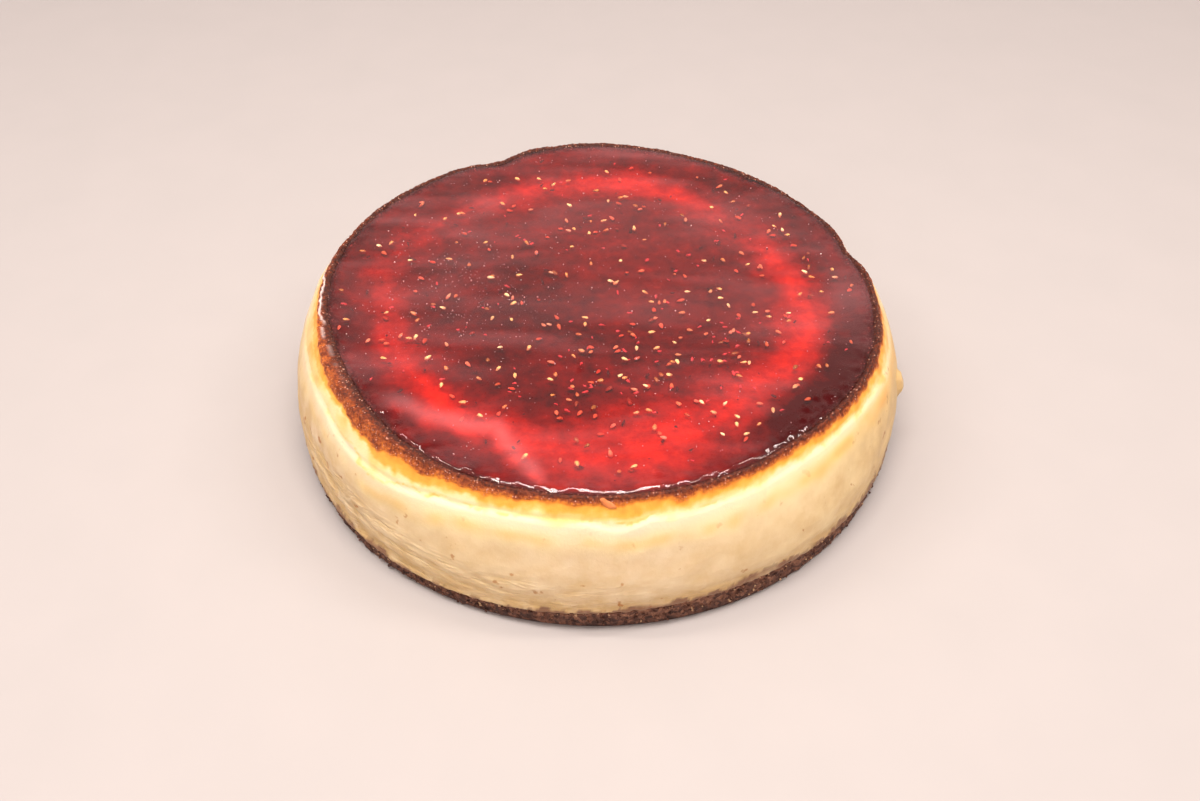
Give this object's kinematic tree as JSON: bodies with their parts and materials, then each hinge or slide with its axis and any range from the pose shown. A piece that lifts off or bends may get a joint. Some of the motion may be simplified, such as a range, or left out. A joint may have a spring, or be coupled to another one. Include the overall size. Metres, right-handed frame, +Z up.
{
  "type": "baked cheesecake",
  "caption": "Whole round baked cheesecake on a dark biscuit base, with a browned rim and a glossy strawberry jelly on top.",
  "frame": {"origin": "centre of the flat underside, at floor level", "axes": "+Z up; -Y is the side where the biscuit base shows thickest, turned a little towards +X"},
  "size_m": [0.2416, 0.2416, 0.0557],
  "materials": {
    "biscuit_crumb": "dark pressed biscuit crumb, dull and grainy",
    "baked_filling": "pale baked cheese, soft satin, browned to a dark crust at the rim",
    "set_jelly": "clear red strawberry jelly with seeds, wet gloss"
  },
  "bodies": {
    "root": {"biscuit_base": "biscuit_crumb", "cheese_filling": "baked_filling", "strawberry_jelly": "set_jelly"}
  },
  "joints": []
}
